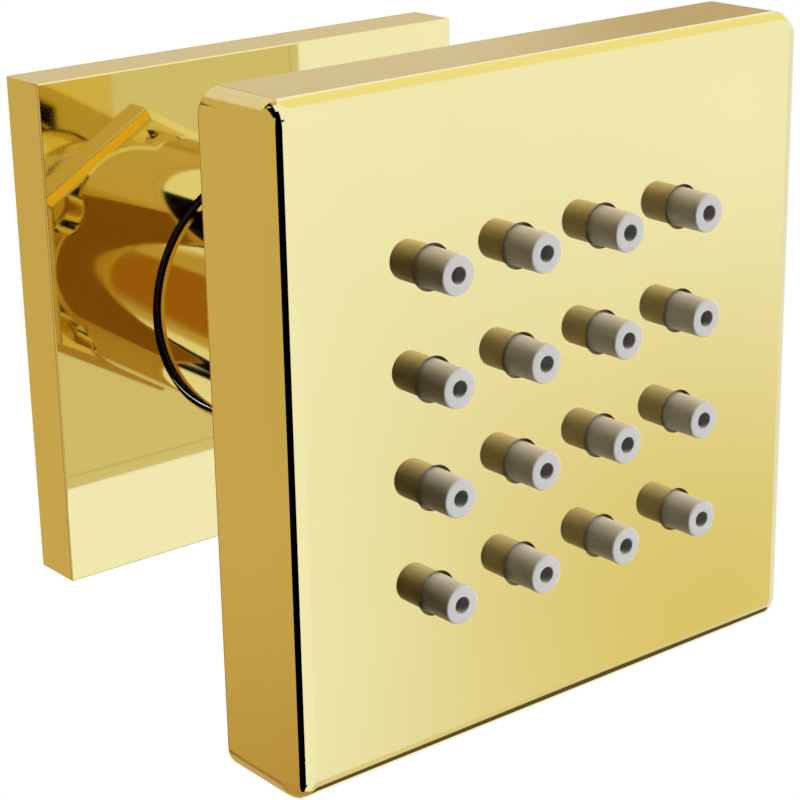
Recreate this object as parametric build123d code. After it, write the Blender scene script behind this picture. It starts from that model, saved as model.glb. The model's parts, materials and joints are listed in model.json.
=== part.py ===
"""Square shower body jet: wall flange, barrel with hexagon, ball joint and spray head.

Millimetres, +Z up. The origin lies on the inlet's axis in the wall's plane, and the jet sprays towards -Y.
Places along the axis are given as distances forward of the wall.
"""
from build123d import *
import os
from math import asin, radians, sin, sqrt

# Places along the axis
flange_depth = 6.45
barrel_exposed = 22.8
hexagon_length = 5.25
neck_gap = 11.1
head_depth = 11.8

# Wall flange
flange_side = 57.7
flange_wall = 2.0
flange_face = 2.2
flange_edge = 0.35
flange_gap = 0.5
flange_mouth = 0.3
collar_wall = 3.7
collar_depth = 5.4
flange_ring_section = 0.85
flange_lip = 0.85
wall_gasket_width = 3.2
wall_gasket_depth = 2.0

# Ball joint
ball_radius = 12.2
ball_setback = 4.5
ball_flat_radius = 6.0
waterway_radius = 5.0
neck_radius = 8.0
neck_fillet = 1.5
liner_thickness = 0.75
liner_mouth_radius = 7.0
seat_edge = 0.8
seat_mouth_radius = 8.6
seat_web = 0.6
seat_shoulder = 0.15
seat_ring_section = 0.8
seat_gasket_depth = 2.0
seat_gasket_mouth = 9.0
swing_limit = 15.0

# Barrel and hexagon
lip_depth = 1.9
thread_step = 0.65
barrel_wall = 1.15
flat_step = 0.85
rear_bevel = 1.1
front_bevel = 0.5
relief_cutter = 3.5
relief_depth = 1.25
relief_run = 1.6
barrel_rear = 2.5
thread_runout = 0.5

# Inlet connector
inlet_thread_radius = 20.955 / 2
inlet_thread_length = 15.0
inlet_bore_radius = 7.0
relief_groove = 0.6
relief_lead = 0.5
washer_standoff = 0.5
washer_depth = 1.5
washer_width = 3.5
mouth_radius = 8.0
mouth_depth = 7.0
limiter_depth = 4.0
limiter_ring_section = 0.8
limiter_hole_radius = 0.9
limiter_hole_count = 6
limiter_hole_circle = 4.2
strainer_depth = 2.2
strainer_sheet = 0.7
strainer_rim = 1.3
strainer_hole_radius = 0.55
strainer_hole_spacing = 2.0

# Spray head
head_side = 70.0
head_corner = 2.6
head_front_round = 2.55
head_back_round = 0.5
rim_wall = 1.8
ledge_width = 1.4
spray_face = 1.6
back_plate_depth = 2.4
head_gasket_depth = 1.0
boss_radius = 11.55
boss_height = 2.1
boss_round = 0.4
spigot_radius = 7.0
spigot_ring_section = 0.6

# Nozzles and what presses them
nozzle_rows = 4
nozzle_pitch = 11.25
nozzle_radius = 2.03
nozzle_bore_radius = 0.85
nozzle_throat_radius = 1.3
nozzle_reach = 4.0
nozzle_round = 0.2
nozzle_gap = 0.35
mat_depth = 1.5
mat_post_gap = 0.2
distributor_depth = 2.0
distributor_hole_radius = 1.6
post_radius = 2.4
screw_margin = 7.4
screw_radius = 1.2
screw_bite = 2.2
screw_head_radius = 2.1
screw_head_depth = 1.3
screw_slot_width = 0.6
screw_slot_depth = 0.5

# Clearances
fit_gap = 0.05
slide_gap = 0.1
lip_gap = 0.2
swing_gap = 0.3
thread_chamfer = 1.0
small_chamfer = 0.4

# Places worked out from the driving dimensions
hexagon_rear = flange_depth + barrel_exposed
hexagon_front = hexagon_rear + hexagon_length
ball_centre = hexagon_front - ball_setback
head_back = hexagon_front + neck_gap
head_front = head_back + head_depth
boss_rear = head_back - boss_height

# Nested spheres and rings of the ball joint, from the ball outwards
liner_inner = ball_radius + slide_gap
liner_outer = liner_inner + liner_thickness
seat_sphere = liner_outer + slide_gap
seat_outer = seat_sphere + seat_shoulder
barrel_bore = seat_outer + fit_gap
thread_radius = barrel_bore + thread_step
barrel_radius = thread_radius + barrel_wall
hexagon_apothem = barrel_radius + flat_step
seat_front = ball_centre - sqrt(seat_sphere**2 - (seat_outer - seat_edge) ** 2)
seat_rear = ball_centre - sqrt(seat_sphere**2 - seat_mouth_radius**2) - seat_web
connector_front = seat_rear - seat_gasket_depth

# Stack of the spray head, from its back and from its face
gasket_seat = head_back + back_plate_depth
ledge = gasket_seat + head_gasket_depth
mat_front = head_front - spray_face
mat_rear = mat_front - mat_depth
distributor_rear = mat_rear - distributor_depth
cavity_side = head_side - 2 * (rim_wall + ledge_width)
screw_spread = (nozzle_rows - 1) / 2 * nozzle_pitch + screw_margin
screw_sides = (-screw_spread, screw_spread)
screw_places = [(0, 0)] + [(x, z) for x in screw_sides for z in screw_sides]


def across(forward):
    """Plane square to the axis, at a distance forward of the wall, that faces forward."""
    return Plane.XZ.offset(forward)


def turned(*corners):
    """Solid of revolution about the axis, from (radius, forward) corners."""
    outline = Polyline(*[(radius, -forward) for radius, forward in corners], close=True)
    return revolve(make_face(outline), Axis.Y)


def ring(inner, outer, rear, front):
    """Plain ring about the axis."""
    return turned((inner, rear), (outer, rear), (outer, front), (inner, front))


def o_ring(inner, section, forward):
    """Round-section ring, from its inner radius and the radius of its section."""
    return across(forward) * Torus(inner + section, section)


def ball(radius):
    """Sphere at the joint's centre."""
    return Pos(0, -ball_centre, 0) * Sphere(radius)


def slab(side, corner, rear, front):
    """Square plate with rounded corners, square to the axis."""
    return extrude(across(rear) * RectangleRounded(side, side, corner), amount=front - rear)


def rods(places, radius, rear, front):
    """Round rods along the axis, at (x, z) places."""
    outline = Sketch() + [Pos(x, z) * Circle(radius) for x, z in places]
    return extrude(across(rear) * outline, amount=front - rear)


def nozzle_places():
    """Centres of the nozzles, as (x, z)."""
    steps = [(index - (nozzle_rows - 1) / 2) * nozzle_pitch for index in range(nozzle_rows)]
    return [(x, z) for z in steps for x in steps]


def front_edges(solid):
    """Edges of the face that lies furthest forward."""
    return solid.faces().sort_by(Axis.Y)[0].edges()


def back_edges(solid):
    """Edges of the face that lies nearest the wall."""
    return solid.faces().sort_by(Axis.Y)[-1].edges()


def inlet_connector():
    """Brass tail: pipe thread behind the wall, relief groove at the shoulder, fine thread in front."""
    rear = -inlet_thread_length
    shoulder = washer_standoff + washer_depth
    tail = inlet_thread_radius
    tail_end = washer_standoff - relief_lead
    core = thread_radius - fit_gap
    step = mouth_depth - inlet_thread_length
    return turned(
        (mouth_radius, rear),
        (tail - thread_chamfer, rear),
        (tail, rear + thread_chamfer),
        (tail, tail_end),
        (tail - relief_groove, tail_end),
        (tail - relief_groove, shoulder),
        (core - small_chamfer, shoulder),
        (core, shoulder + small_chamfer),
        (core, connector_front - thread_chamfer),
        (core - thread_chamfer, connector_front),
        (inlet_bore_radius, connector_front),
        (inlet_bore_radius, step),
        (mouth_radius, step),
    )


def inlet_washer():
    """Rubber ring in the relief groove, against the connector's shoulder."""
    inner = inlet_thread_radius - relief_groove + fit_gap
    return ring(inner, inner + washer_width, washer_standoff, washer_standoff + washer_depth)


def flow_limiter():
    """Plastic insert with a groove for its seal and a circle of small passages."""
    front = mouth_depth - inlet_thread_length
    rear = front - limiter_depth
    middle = (front + rear) / 2
    radius = mouth_radius - fit_gap
    groove = radius - 2 * limiter_ring_section
    half = limiter_ring_section + fit_gap
    body = turned(
        (0, rear),
        (radius, rear),
        (radius, middle - half),
        (groove, middle - half),
        (groove, middle + half),
        (radius, middle + half),
        (radius, front),
        (0, front),
    )
    passages = across(rear) * PolarLocations(limiter_hole_circle, limiter_hole_count)
    for place in passages:
        body -= place * Cylinder(limiter_hole_radius, 2 * limiter_depth)
    return body


def limiter_o_ring():
    """Seal of the flow limiter."""
    middle = mouth_depth - inlet_thread_length - limiter_depth / 2
    return o_ring(mouth_radius - fit_gap - 2 * limiter_ring_section, limiter_ring_section, middle)


def inlet_strainer():
    """Perforated disc with a rim, in the connector's mouth."""
    front = mouth_depth - inlet_thread_length - limiter_depth
    rear = front - strainer_depth
    radius = mouth_radius - fit_gap
    inside = radius - strainer_rim
    body = turned(
        (0, front - strainer_sheet),
        (inside, front - strainer_sheet),
        (inside, rear),
        (radius, rear),
        (radius, front),
        (0, front),
    )
    reach = inside - strainer_hole_radius - small_chamfer
    count = 2 * int(reach / strainer_hole_spacing) + 1
    grid = HexLocations(strainer_hole_spacing / 2, count, count, major_radius=False)
    places = [spot.position for spot in grid if spot.position.length < reach]
    holes = [(place.X, place.Y) for place in places]
    return body - rods(holes, strainer_hole_radius, rear, front)


def corner_relief():
    """Ball-nosed cutter at the foot of the hexagon's top corner."""
    offset = barrel_radius - relief_depth + relief_cutter
    start = hexagon_rear - relief_run
    nose = Pos(0, -start, offset) * Sphere(relief_cutter)
    run = across(start) * Pos(0, offset) * Cylinder(
        relief_cutter, relief_run, align=(Align.CENTER, Align.CENTER, Align.MIN)
    )
    behind = across(start - relief_cutter) * Pos(0, offset) * Cylinder(
        relief_cutter, relief_cutter + relief_run, align=(Align.CENTER, Align.CENTER, Align.MIN)
    )
    return (nose & behind) + run


def ball_nut():
    """Barrel and hexagon turned from one hexagon bar, bored for the joint, with the ball's lip in front."""
    outline = RegularPolygon(hexagon_apothem, 6, major_radius=False, rotation=90)
    hexagon = extrude(across(hexagon_rear) * outline, amount=hexagon_length)
    hexagon = chamfer(back_edges(hexagon), rear_bevel)
    hexagon = chamfer(front_edges(hexagon), front_bevel)
    barrel = turned(
        (0, barrel_rear),
        (barrel_radius - small_chamfer, barrel_rear),
        (barrel_radius, barrel_rear + small_chamfer),
        (barrel_radius, hexagon_rear + rear_bevel),
        (0, hexagon_rear + rear_bevel),
    )
    relief = corner_relief()
    for index in range(6):
        barrel -= Rot(0, 60 * index, 0) * relief
    nut = barrel + hexagon
    thread_end = connector_front + thread_runout
    bore = turned(
        (0, barrel_rear),
        (thread_radius, barrel_rear),
        (thread_radius, thread_end),
        (barrel_bore, thread_end + thread_step),
        (barrel_bore, hexagon_front - lip_depth),
        (0, hexagon_front - lip_depth),
    )
    return nut - bore - ball(ball_radius + lip_gap)


def seat_gasket():
    """Rubber ring between the connector and the seat."""
    return ring(seat_gasket_mouth, seat_outer, connector_front, seat_rear)


def seat_groove():
    """Place of the seat's outer groove: the middle of the ring's thick part."""
    return seat_rear + seat_web + 2 * seat_ring_section


def seat_ring():
    """Plastic ring with a hollow seat for the liner and a groove for its seal."""
    half = seat_ring_section + fit_gap
    floor = seat_outer - 2 * seat_ring_section
    body = turned(
        (seat_mouth_radius, seat_rear),
        (seat_outer, seat_rear),
        (seat_outer, seat_groove() - half),
        (floor, seat_groove() - half),
        (floor, seat_groove() + half),
        (seat_outer, seat_groove() + half),
        (seat_outer, seat_front),
        (seat_mouth_radius, seat_front),
    )
    return body - ball(seat_sphere)


def seat_o_ring():
    """Seal between the seat and the barrel."""
    return o_ring(seat_outer - 2 * seat_ring_section, seat_ring_section, seat_groove())


def ball_liner():
    """Thin shell round the ball's rear half, short enough to stay behind the lip when it tilts."""
    reach = ball_setback - lip_depth - swing_gap
    setback = radians(swing_limit) - asin(reach / liner_outer)
    front = ball_centre - liner_outer * sin(setback)
    rear = ball_centre - sqrt(liner_outer**2 - liner_mouth_radius**2)
    zone = ring(0, 2 * liner_outer, rear, front)
    return (ball(liner_outer) - ball(liner_inner)) & zone


def swivel_ball():
    """Ball with a neck, a spigot for the head and a waterway right through."""
    rear = ball_centre - sqrt(ball_radius**2 - ball_flat_radius**2)
    neck_root = ball_centre + sqrt(ball_radius**2 - neck_radius**2)
    shaped = ball(ball_radius) & ring(0, 2 * ball_radius, rear, ball_centre + 2 * ball_radius)
    shaped += ring(0, neck_radius, ball_centre, boss_rear)
    root = shaped.edges().filter_by(GeomType.CIRCLE).sort_by_distance((0, -neck_root, neck_radius))[0]
    shaped = fillet(root, neck_fillet)
    groove = spigot_radius - 2 * spigot_ring_section
    half = spigot_ring_section + fit_gap
    spigot = turned(
        (0, boss_rear),
        (spigot_radius, boss_rear),
        (spigot_radius, head_back - half),
        (groove, head_back - half),
        (groove, head_back + half),
        (spigot_radius, head_back + half),
        (spigot_radius, gasket_seat - small_chamfer),
        (spigot_radius - small_chamfer, gasket_seat),
        (0, gasket_seat),
    )
    waterway = ring(0, waterway_radius, rear, gasket_seat)
    return shaped + spigot - waterway


def spigot_o_ring():
    """Seal between the spigot and the boss."""
    return o_ring(spigot_radius - 2 * spigot_ring_section, spigot_ring_section, head_back)


def head_back_plate():
    """Square plate set into the shell's back, with the boss that takes the spigot."""
    side = head_side - 2 * (rim_wall + fit_gap)
    plate = slab(side, head_corner - rim_wall, head_back, gasket_seat)
    boss = ring(0, boss_radius, boss_rear, head_back)
    boss = fillet(back_edges(boss), boss_round)
    return plate + boss - ring(0, spigot_radius + fit_gap, boss_rear, gasket_seat)


def head_gasket():
    """Square seal on the shell's ledge."""
    side = head_side - 2 * (rim_wall + fit_gap)
    outer = slab(side, head_corner - rim_wall, gasket_seat, ledge)
    return outer - slab(cavity_side, head_corner - rim_wall, gasket_seat, ledge)


def head_shell():
    """Front of the spray head: rounded edges, nozzle holes, a ledge for the back plate and screw posts."""
    shell = slab(head_side, head_corner, head_back, head_front)
    shell = fillet(front_edges(shell), min(head_front_round, head_corner - fit_gap))
    shell = fillet(back_edges(shell), head_back_round)
    shell -= slab(head_side - 2 * rim_wall, head_corner - rim_wall, head_back, ledge)
    shell -= slab(cavity_side, head_corner - rim_wall, ledge, mat_front)
    shell -= rods(nozzle_places(), nozzle_radius + nozzle_gap, mat_front, head_front)
    shell += rods(screw_places, post_radius, mat_rear, mat_front)
    return shell - rods(screw_places, screw_radius + fit_gap, mat_rear, mat_rear + screw_bite + fit_gap)


def distributor_plate():
    """Plastic plate that presses the nozzle mat against the spray face."""
    side = cavity_side - 2 * slide_gap
    plate = slab(side, head_corner - rim_wall, distributor_rear, mat_rear)
    plate -= rods(nozzle_places(), distributor_hole_radius, distributor_rear, mat_rear)
    return plate - rods(screw_places, screw_radius + slide_gap, distributor_rear, mat_rear)


def nozzle():
    """One nozzle at the axis: a round-tipped tube with a bore that widens towards the mat."""
    tip = head_front + nozzle_reach
    tube = ring(0, nozzle_radius, mat_front, tip)
    return fillet(front_edges(tube), nozzle_round)


def nozzle_bore():
    """Waterway of one nozzle at the axis."""
    tip = head_front + nozzle_reach
    return turned(
        (0, mat_rear),
        (nozzle_throat_radius, mat_rear),
        (nozzle_throat_radius, mat_front),
        (nozzle_bore_radius, head_front),
        (nozzle_bore_radius, tip - nozzle_round),
        (nozzle_bore_radius + nozzle_round, tip),
        (0, tip),
    )


def nozzle_mat():
    """Silicone sheet with all nozzles moulded on it."""
    side = cavity_side - 2 * slide_gap
    mat = slab(side, head_corner - rim_wall, mat_rear, mat_front)
    mat -= rods(screw_places, post_radius + mat_post_gap, mat_rear, mat_front)
    tubes = [Pos(x, 0, z) * nozzle() for x, z in nozzle_places()]
    bores = [Pos(x, 0, z) * nozzle_bore() for x, z in nozzle_places()]
    return mat + tubes - bores


def plate_screw():
    """One screw at the axis, with a driving slot."""
    seat = distributor_rear
    screw = turned(
        (0, seat - screw_head_depth),
        (screw_head_radius, seat - screw_head_depth),
        (screw_head_radius, seat),
        (screw_radius, seat),
        (screw_radius, mat_rear + screw_bite),
        (0, mat_rear + screw_bite),
    )
    slot = across(seat - screw_head_depth) * Box(
        2 * screw_head_radius,
        screw_slot_width,
        screw_slot_depth,
        align=(Align.CENTER, Align.CENTER, Align.MIN),
    )
    return screw - slot


def plate_screws():
    """All screws of the distributor plate, as separate solids."""
    return Compound([Pos(x, 0, z) * plate_screw() for x, z in screw_places])


def wall_flange():
    """Square shell, open towards the wall, with a collar that holds the gripping ring."""
    shell = extrude(across(0) * Rectangle(flange_side, flange_side), amount=flange_depth)
    shell = chamfer(shell.edges().filter_by(Axis.Y) + front_edges(shell), flange_edge)
    hollow_side = flange_side - 2 * flange_wall
    shell -= extrude(across(0) * Rectangle(hollow_side, hollow_side), amount=flange_depth - flange_face)
    hole = barrel_radius + flange_gap
    shell += ring(0, hole + collar_wall, flange_depth - collar_depth, flange_depth - flange_face)
    groove_front = flange_depth - flange_lip
    groove_rear = groove_front - 2 * (flange_ring_section + fit_gap)
    floor = barrel_radius + 2 * (flange_ring_section + fit_gap)
    shell -= turned(
        (0, 0),
        (hole, 0),
        (hole, flange_depth - flange_mouth),
        (hole + flange_mouth, flange_depth),
        (0, flange_depth),
    )
    return shell - ring(hole - flange_gap, floor, groove_rear, groove_front)


def flange_o_ring():
    """Black ring in the flange's collar that grips the barrel."""
    forward = flange_depth - flange_lip - flange_ring_section - fit_gap
    return o_ring(barrel_radius + fit_gap, flange_ring_section, forward)


def wall_gasket():
    """Foam frame inside the flange's rim, against the wall."""
    outer = flange_side - 2 * (flange_wall + fit_gap)
    inner = outer - 2 * wall_gasket_width
    outline = Rectangle(outer, outer) - Rectangle(inner, inner)
    return extrude(across(0) * outline, amount=wall_gasket_depth)


PIECES = [
    inlet_connector,
    inlet_washer,
    inlet_strainer,
    flow_limiter,
    limiter_o_ring,
    ball_nut,
    seat_gasket,
    wall_flange,
    flange_o_ring,
    wall_gasket,
    seat_ring,
    seat_o_ring,
    ball_liner,
    swivel_ball,
    spigot_o_ring,
    head_back_plate,
    head_gasket,
    head_shell,
    distributor_plate,
    nozzle_mat,
    plate_screws,
]

os.makedirs("parts", exist_ok=True)
for piece in PIECES:
    export_step(piece(), f"parts/{piece.__name__}.step")
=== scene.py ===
# %% [markdown]
# # A square shower body jet, dressed for its picture
# The jet sprays from a bathroom wall. A square flange hides the hole in the wall, a round barrel that ends in
# a hexagon holds a ball joint, and the ball carries a square spray head with sixteen silicone nozzles.
# The CAD pack already holds every piece at its true size and place. Those meshes could be shown as they are,
# but a mirror finish shows every facet. So each piece in view is modelled again, with smooth, dense rounds.

# %% Load the frame
import json
from math import atan2, ceil, cos, hypot, pi, radians, sqrt, tau

import bmesh
import bpy
from mathutils import Matrix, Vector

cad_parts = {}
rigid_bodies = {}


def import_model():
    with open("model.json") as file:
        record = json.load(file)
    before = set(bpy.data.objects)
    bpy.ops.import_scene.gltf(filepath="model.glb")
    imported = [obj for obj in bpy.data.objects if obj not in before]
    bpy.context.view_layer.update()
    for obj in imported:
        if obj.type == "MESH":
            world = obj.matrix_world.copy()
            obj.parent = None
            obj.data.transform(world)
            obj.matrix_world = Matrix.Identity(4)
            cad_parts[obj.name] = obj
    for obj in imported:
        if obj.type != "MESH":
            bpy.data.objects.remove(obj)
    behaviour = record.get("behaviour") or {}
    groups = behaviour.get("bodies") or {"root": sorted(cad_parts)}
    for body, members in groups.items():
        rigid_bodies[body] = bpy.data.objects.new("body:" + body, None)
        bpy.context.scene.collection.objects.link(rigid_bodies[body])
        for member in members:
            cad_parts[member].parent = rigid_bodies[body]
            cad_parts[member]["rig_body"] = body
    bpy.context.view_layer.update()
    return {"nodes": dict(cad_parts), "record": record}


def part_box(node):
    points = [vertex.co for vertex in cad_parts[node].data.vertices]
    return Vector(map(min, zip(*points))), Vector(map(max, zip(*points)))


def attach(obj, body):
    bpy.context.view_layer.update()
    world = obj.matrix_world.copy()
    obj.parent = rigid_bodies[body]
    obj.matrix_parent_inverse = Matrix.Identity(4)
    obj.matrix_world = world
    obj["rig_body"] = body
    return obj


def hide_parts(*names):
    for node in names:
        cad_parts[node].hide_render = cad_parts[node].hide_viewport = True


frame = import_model()
bpy.context.scene.view_settings.view_transform = "Standard"

# %% [markdown]
# ## The camera
# The picture is taken from the front left, a little above the jet, with a long lens that keeps the two
# squares nearly true. The place and the turn could be tried by eye. Here they come from the straight edges of
# the flange and the head, whose vanishing points give the camera. The small roll is the picture's own.

# %% Camera
CAMERA_PLACE = (-0.151590, -0.220012, 0.076682)
CAMERA_TURN = radians(-38.7598)
CAMERA_DIP = radians(19.0952)
CAMERA_ROLL = radians(-1.1613)
CAMERA_LENS = 103.734
CAMERA_NEAREST = 0.01

bpy.ops.object.camera_add(location=CAMERA_PLACE)
camera = bpy.context.object
camera.matrix_world = (
    Matrix.Translation(CAMERA_PLACE)
    @ Matrix.Rotation(CAMERA_TURN, 4, "Z")
    @ Matrix.Rotation(pi / 2 - CAMERA_DIP, 4, "X")
    @ Matrix.Rotation(CAMERA_ROLL, 4, "Z")
)
camera.data.lens = CAMERA_LENS
camera.data.clip_start = CAMERA_NEAREST
bpy.context.scene.camera = camera
print("camera lens:", camera.data.lens, "mm")

# %% [markdown]
# ## The studio
# Polished metal has almost no colour of its own: it shows the room. The picture's room is white in front and
# to the right, with warm boards to the left and behind. Cards could stand round the jet as objects, but they
# would come into view from other sides. So the world paints them by direction, in degrees: azimuth 0 is in
# front of the jet, 90 to its right, and elevation is above the horizon. Later zones lie over earlier ones.

# %% World and its helpers
world = bpy.data.worlds.new("studio")
world.use_nodes = True
bpy.context.scene.world = world
room = world.node_tree
room.nodes.clear()


def room_math(operation, first, second=None):
    """One math node of the room, fed by sockets or numbers."""
    node = room.nodes.new("ShaderNodeMath")
    node.operation = operation
    for socket, source in zip(node.inputs, (first, second)):
        if isinstance(source, bpy.types.NodeSocket):
            room.links.new(source, socket)
        elif source is not None:
            socket.default_value = source
    return node.outputs[0]


def soft_step(value, edge, softness, rising):
    """A smooth step of a value at an edge, up or down."""
    node = room.nodes.new("ShaderNodeMapRange")
    node.interpolation_type = "SMOOTHSTEP"
    room.links.new(value, node.inputs["Value"])
    node.inputs["From Min"].default_value = edge - softness / 2
    node.inputs["From Max"].default_value = edge + softness / 2
    node.inputs["To Min"].default_value = 0.0 if rising else 1.0
    node.inputs["To Max"].default_value = 1.0 if rising else 0.0
    return node.outputs["Result"]


def band(angle, low, high, softness):
    """1 between two angles, 0 outside them."""
    inside = soft_step(angle, low, softness, True)
    return room_math("MULTIPLY", inside, soft_step(angle, high, softness, False))


print("world helpers ready")

# %% [markdown]
# ### Zones of the room
# A zone is a band of azimuth times a band of elevation, with soft edges, mixed over what is painted so far.
# One picture of a room could be wrapped round the jet instead. Plain numbers are easier to change, one board
# at a time, while looking at the face that shows it.

# %% Room of soft zones
BLACK = (0.0, 0.0, 0.0)
ROOM_COLOUR = (1.04, 1.11, 1.22)
ROOM_ZONES = [
    # name, azimuth from, to, elevation from, to, colour, softness across, softness upward
    ("warm boards", -215, -30, -100, 70, (0.66, 0.50, 0.19), 3, 10),
    ("warm boards, low", -215, -30, -100, -27, (0.54, 0.34, 0.09), 3, 10),
    ("darker board, low", -200, -146, -100, -33, (0.40, 0.23, 0.09), 6, 4),
    ("orange board", -45, -33, -19, 13, (0.43, 0.19, 0.02), 3, 3),
    ("gap above", -27, -3, 29, 37.5, BLACK, 2, 2),
    ("gap below", -21, -10.5, -46, -33.5, BLACK, 3, 3),
    ("cream board, right", 40, 62, -100, -18, (0.83, 0.76, 0.39), 14, 14),
    ("cream board, low", 24, 62, -100, -32, (0.85, 0.81, 0.60), 14, 10),
    ("dark floor, right", 57, 98, -70, -41, (0.13, 0.095, 0.047), 6, 6),
    ("ground", -200, 200, -100, -68, (0.50, 0.33, 0.12), 3, 6),
    ("right wall", 60, 120, -41, 4, (0.93, 0.98, 1.08), 6, 6),
    ("back wall, right", 116, 162, -32, -4, (0.88, 0.93, 1.08), 6, 6),
    ("buff board, back", 120, 200, 1, 15, (0.72, 0.63, 0.47), 6, 5),
    ("buff board, right", 120, 137, 4, 12, (0.57, 0.45, 0.27), 6, 5),
    ("back, low", 148, 200, -68, -32, (0.62, 0.45, 0.20), 6, 6),
    ("back, high", 146, 196, 20, 46, (0.84, 0.77, 0.66), 6, 6),
    ("cream ceiling, right", 80, 136, 26, 66, (1.03, 0.98, 0.55), 10, 8),
]


def paint_zone(under, azimuth, elevation, zone):
    """Paints one zone over the colours so far. A zone across the back is painted from both ends."""
    name, left, right, low, high, colour, soft_across, soft_up = zone
    across = band(azimuth, left, right, soft_across)
    if left < -180:
        across = room_math("MAXIMUM", across, band(azimuth, left + 360, right + 360, soft_across))
    if right > 180:
        across = room_math("MAXIMUM", across, band(azimuth, left - 360, right - 360, soft_across))
    mix = room.nodes.new("ShaderNodeMix")
    mix.label = name
    mix.data_type = "RGBA"
    upward = band(elevation, low, high, soft_up)
    room.links.new(room_math("MULTIPLY", across, upward), mix.inputs["Factor"])
    if under is None:
        mix.inputs["A"].default_value = (*ROOM_COLOUR, 1.0)
    else:
        room.links.new(under, mix.inputs["A"])
    mix.inputs["B"].default_value = (*colour, 1.0)
    return mix.outputs["Result"]


DEGREES = 180 / pi
facing = room.nodes.new("ShaderNodeTexCoord").outputs["Generated"]
direction = room.nodes.new("ShaderNodeSeparateXYZ")
room.links.new(facing, direction.inputs[0])
backward = room_math("MULTIPLY", direction.outputs["Y"], -1.0)
azimuth = room_math("MULTIPLY", room_math("ARCTAN2", direction.outputs["X"], backward), DEGREES)
elevation = room_math("MULTIPLY", room_math("ARCSINE", direction.outputs["Z"]), DEGREES)
painted = None
for zone in ROOM_ZONES:
    painted = paint_zone(painted, azimuth, elevation, zone)
print("room zones:", len(ROOM_ZONES))

# %% [markdown]
# ### Black arch overhead
# Where the white part of the room meets the warm boards overhead, a dark gap runs across in an arch. It shows
# only on the rounded corner of the head, as the curl of a black line. A plane through the jet gives its run.
# An orange lamp hangs in the arch, and the hexagon's rear bevel shows it.

# %% Black arch
ARCH_SQUARE_TO = (0.895, -0.345, 0.282)
ARCH_FROM, ARCH_TO = -0.19, 0.15
ARCH_SOFTNESS = 0.05
ARCH_ABOVE = 46
ARCH_ABOVE_SOFTNESS = 6
ORANGE_LAMP = ("orange lamp", -168, -154, 55, 69, (0.98, 0.67, 0.06), 3, 3)

off_arch = room.nodes.new("ShaderNodeVectorMath")
off_arch.operation = "DOT_PRODUCT"
room.links.new(facing, off_arch.inputs[0])
off_arch.inputs[1].default_value = ARCH_SQUARE_TO
in_arch = band(off_arch.outputs["Value"], ARCH_FROM, ARCH_TO, ARCH_SOFTNESS)
arch = room.nodes.new("ShaderNodeMix")
arch.data_type = "RGBA"
overhead = soft_step(elevation, ARCH_ABOVE, ARCH_ABOVE_SOFTNESS, True)
room.links.new(room_math("MULTIPLY", in_arch, overhead), arch.inputs["Factor"])
room.links.new(painted, arch.inputs["A"])
arch.inputs["B"].default_value = (*BLACK, 1.0)
painted = paint_zone(arch.outputs["Result"], azimuth, elevation, ORANGE_LAMP)
print("arch above", ARCH_ABOVE, "degrees")

# %% [markdown]
# ### Light for the dull pieces
# Silicone and rubber show no room, only how much light falls on them. In the picture the nozzles' tips are
# bright and their left sides fall off to brown shade. So their light is one narrow window that arches over
# and under the jet, a little to its right, white in front and warm behind, with a faint glow from the left.
# A lamp could throw it, but then it would also show as a bright spot in the gold.

# %% Window light
WINDOW_TOWARDS = (0.92, 0.36, -0.13)
WINDOW_FROM, WINDOW_TO = 0.0, 0.3
WINDOW_SOFTNESS = 0.4
WINDOW_FRONT = (6.85, 7.00, 7.20)
WINDOW_SIDE = (7.80, 5.65, 2.60)
PANE_EDGE, PANE_SOFTNESS = 0.4, 0.6
GLOW_LEFT = (0.012, 0.007, 0.003)

towards = room.nodes.new("ShaderNodeVectorMath")
towards.operation = "DOT_PRODUCT"
room.links.new(facing, towards.inputs[0])
towards.inputs[1].default_value = WINDOW_TOWARDS
pane = room.nodes.new("ShaderNodeMix")
pane.data_type = "RGBA"
room.links.new(soft_step(backward, PANE_EDGE, PANE_SOFTNESS, True), pane.inputs["Factor"])
pane.inputs["A"].default_value = (*WINDOW_SIDE, 1.0)
pane.inputs["B"].default_value = (*WINDOW_FRONT, 1.0)
window = room.nodes.new("ShaderNodeMix")
window.data_type = "RGBA"
opening = band(towards.outputs["Value"], WINDOW_FROM, WINDOW_TO, WINDOW_SOFTNESS)
room.links.new(opening, window.inputs["Factor"])
window.inputs["A"].default_value = (*GLOW_LEFT, 1.0)
room.links.new(pane.outputs["Result"], window.inputs["B"])
print("window towards", WINDOW_TOWARDS)

# %% [markdown]
# ### Who sees what
# A ray that comes straight from the camera sees white paper. A ray that only mirrors have turned sees the
# painted room. All others carry light to a dull piece, some by way of the gold face, and they see the window.

# %% White paper, room and window
WHITE = (1.0, 1.0, 1.0)
ray = room.nodes.new("ShaderNodeLightPath")
seen_dull = room_math("GREATER_THAN", ray.outputs["Diffuse Depth"], 0.5)
shown = room_math("MULTIPLY", ray.outputs["Is Glossy Ray"], room_math("SUBTRACT", 1.0, seen_dull))
metal_or_dull = room.nodes.new("ShaderNodeMix")
metal_or_dull.data_type = "RGBA"
room.links.new(shown, metal_or_dull.inputs["Factor"])
room.links.new(window.outputs["Result"], metal_or_dull.inputs["A"])
room.links.new(painted, metal_or_dull.inputs["B"])
room_light = room.nodes.new("ShaderNodeBackground")
room.links.new(metal_or_dull.outputs["Result"], room_light.inputs["Color"])
paper = room.nodes.new("ShaderNodeBackground")
paper.inputs["Color"].default_value = (*WHITE, 1.0)
chosen = room.nodes.new("ShaderNodeMixShader")
room.links.new(ray.outputs["Is Camera Ray"], chosen.inputs["Fac"])
room.links.new(room_light.outputs[0], chosen.inputs[1])
room.links.new(paper.outputs[0], chosen.inputs[2])
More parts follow.
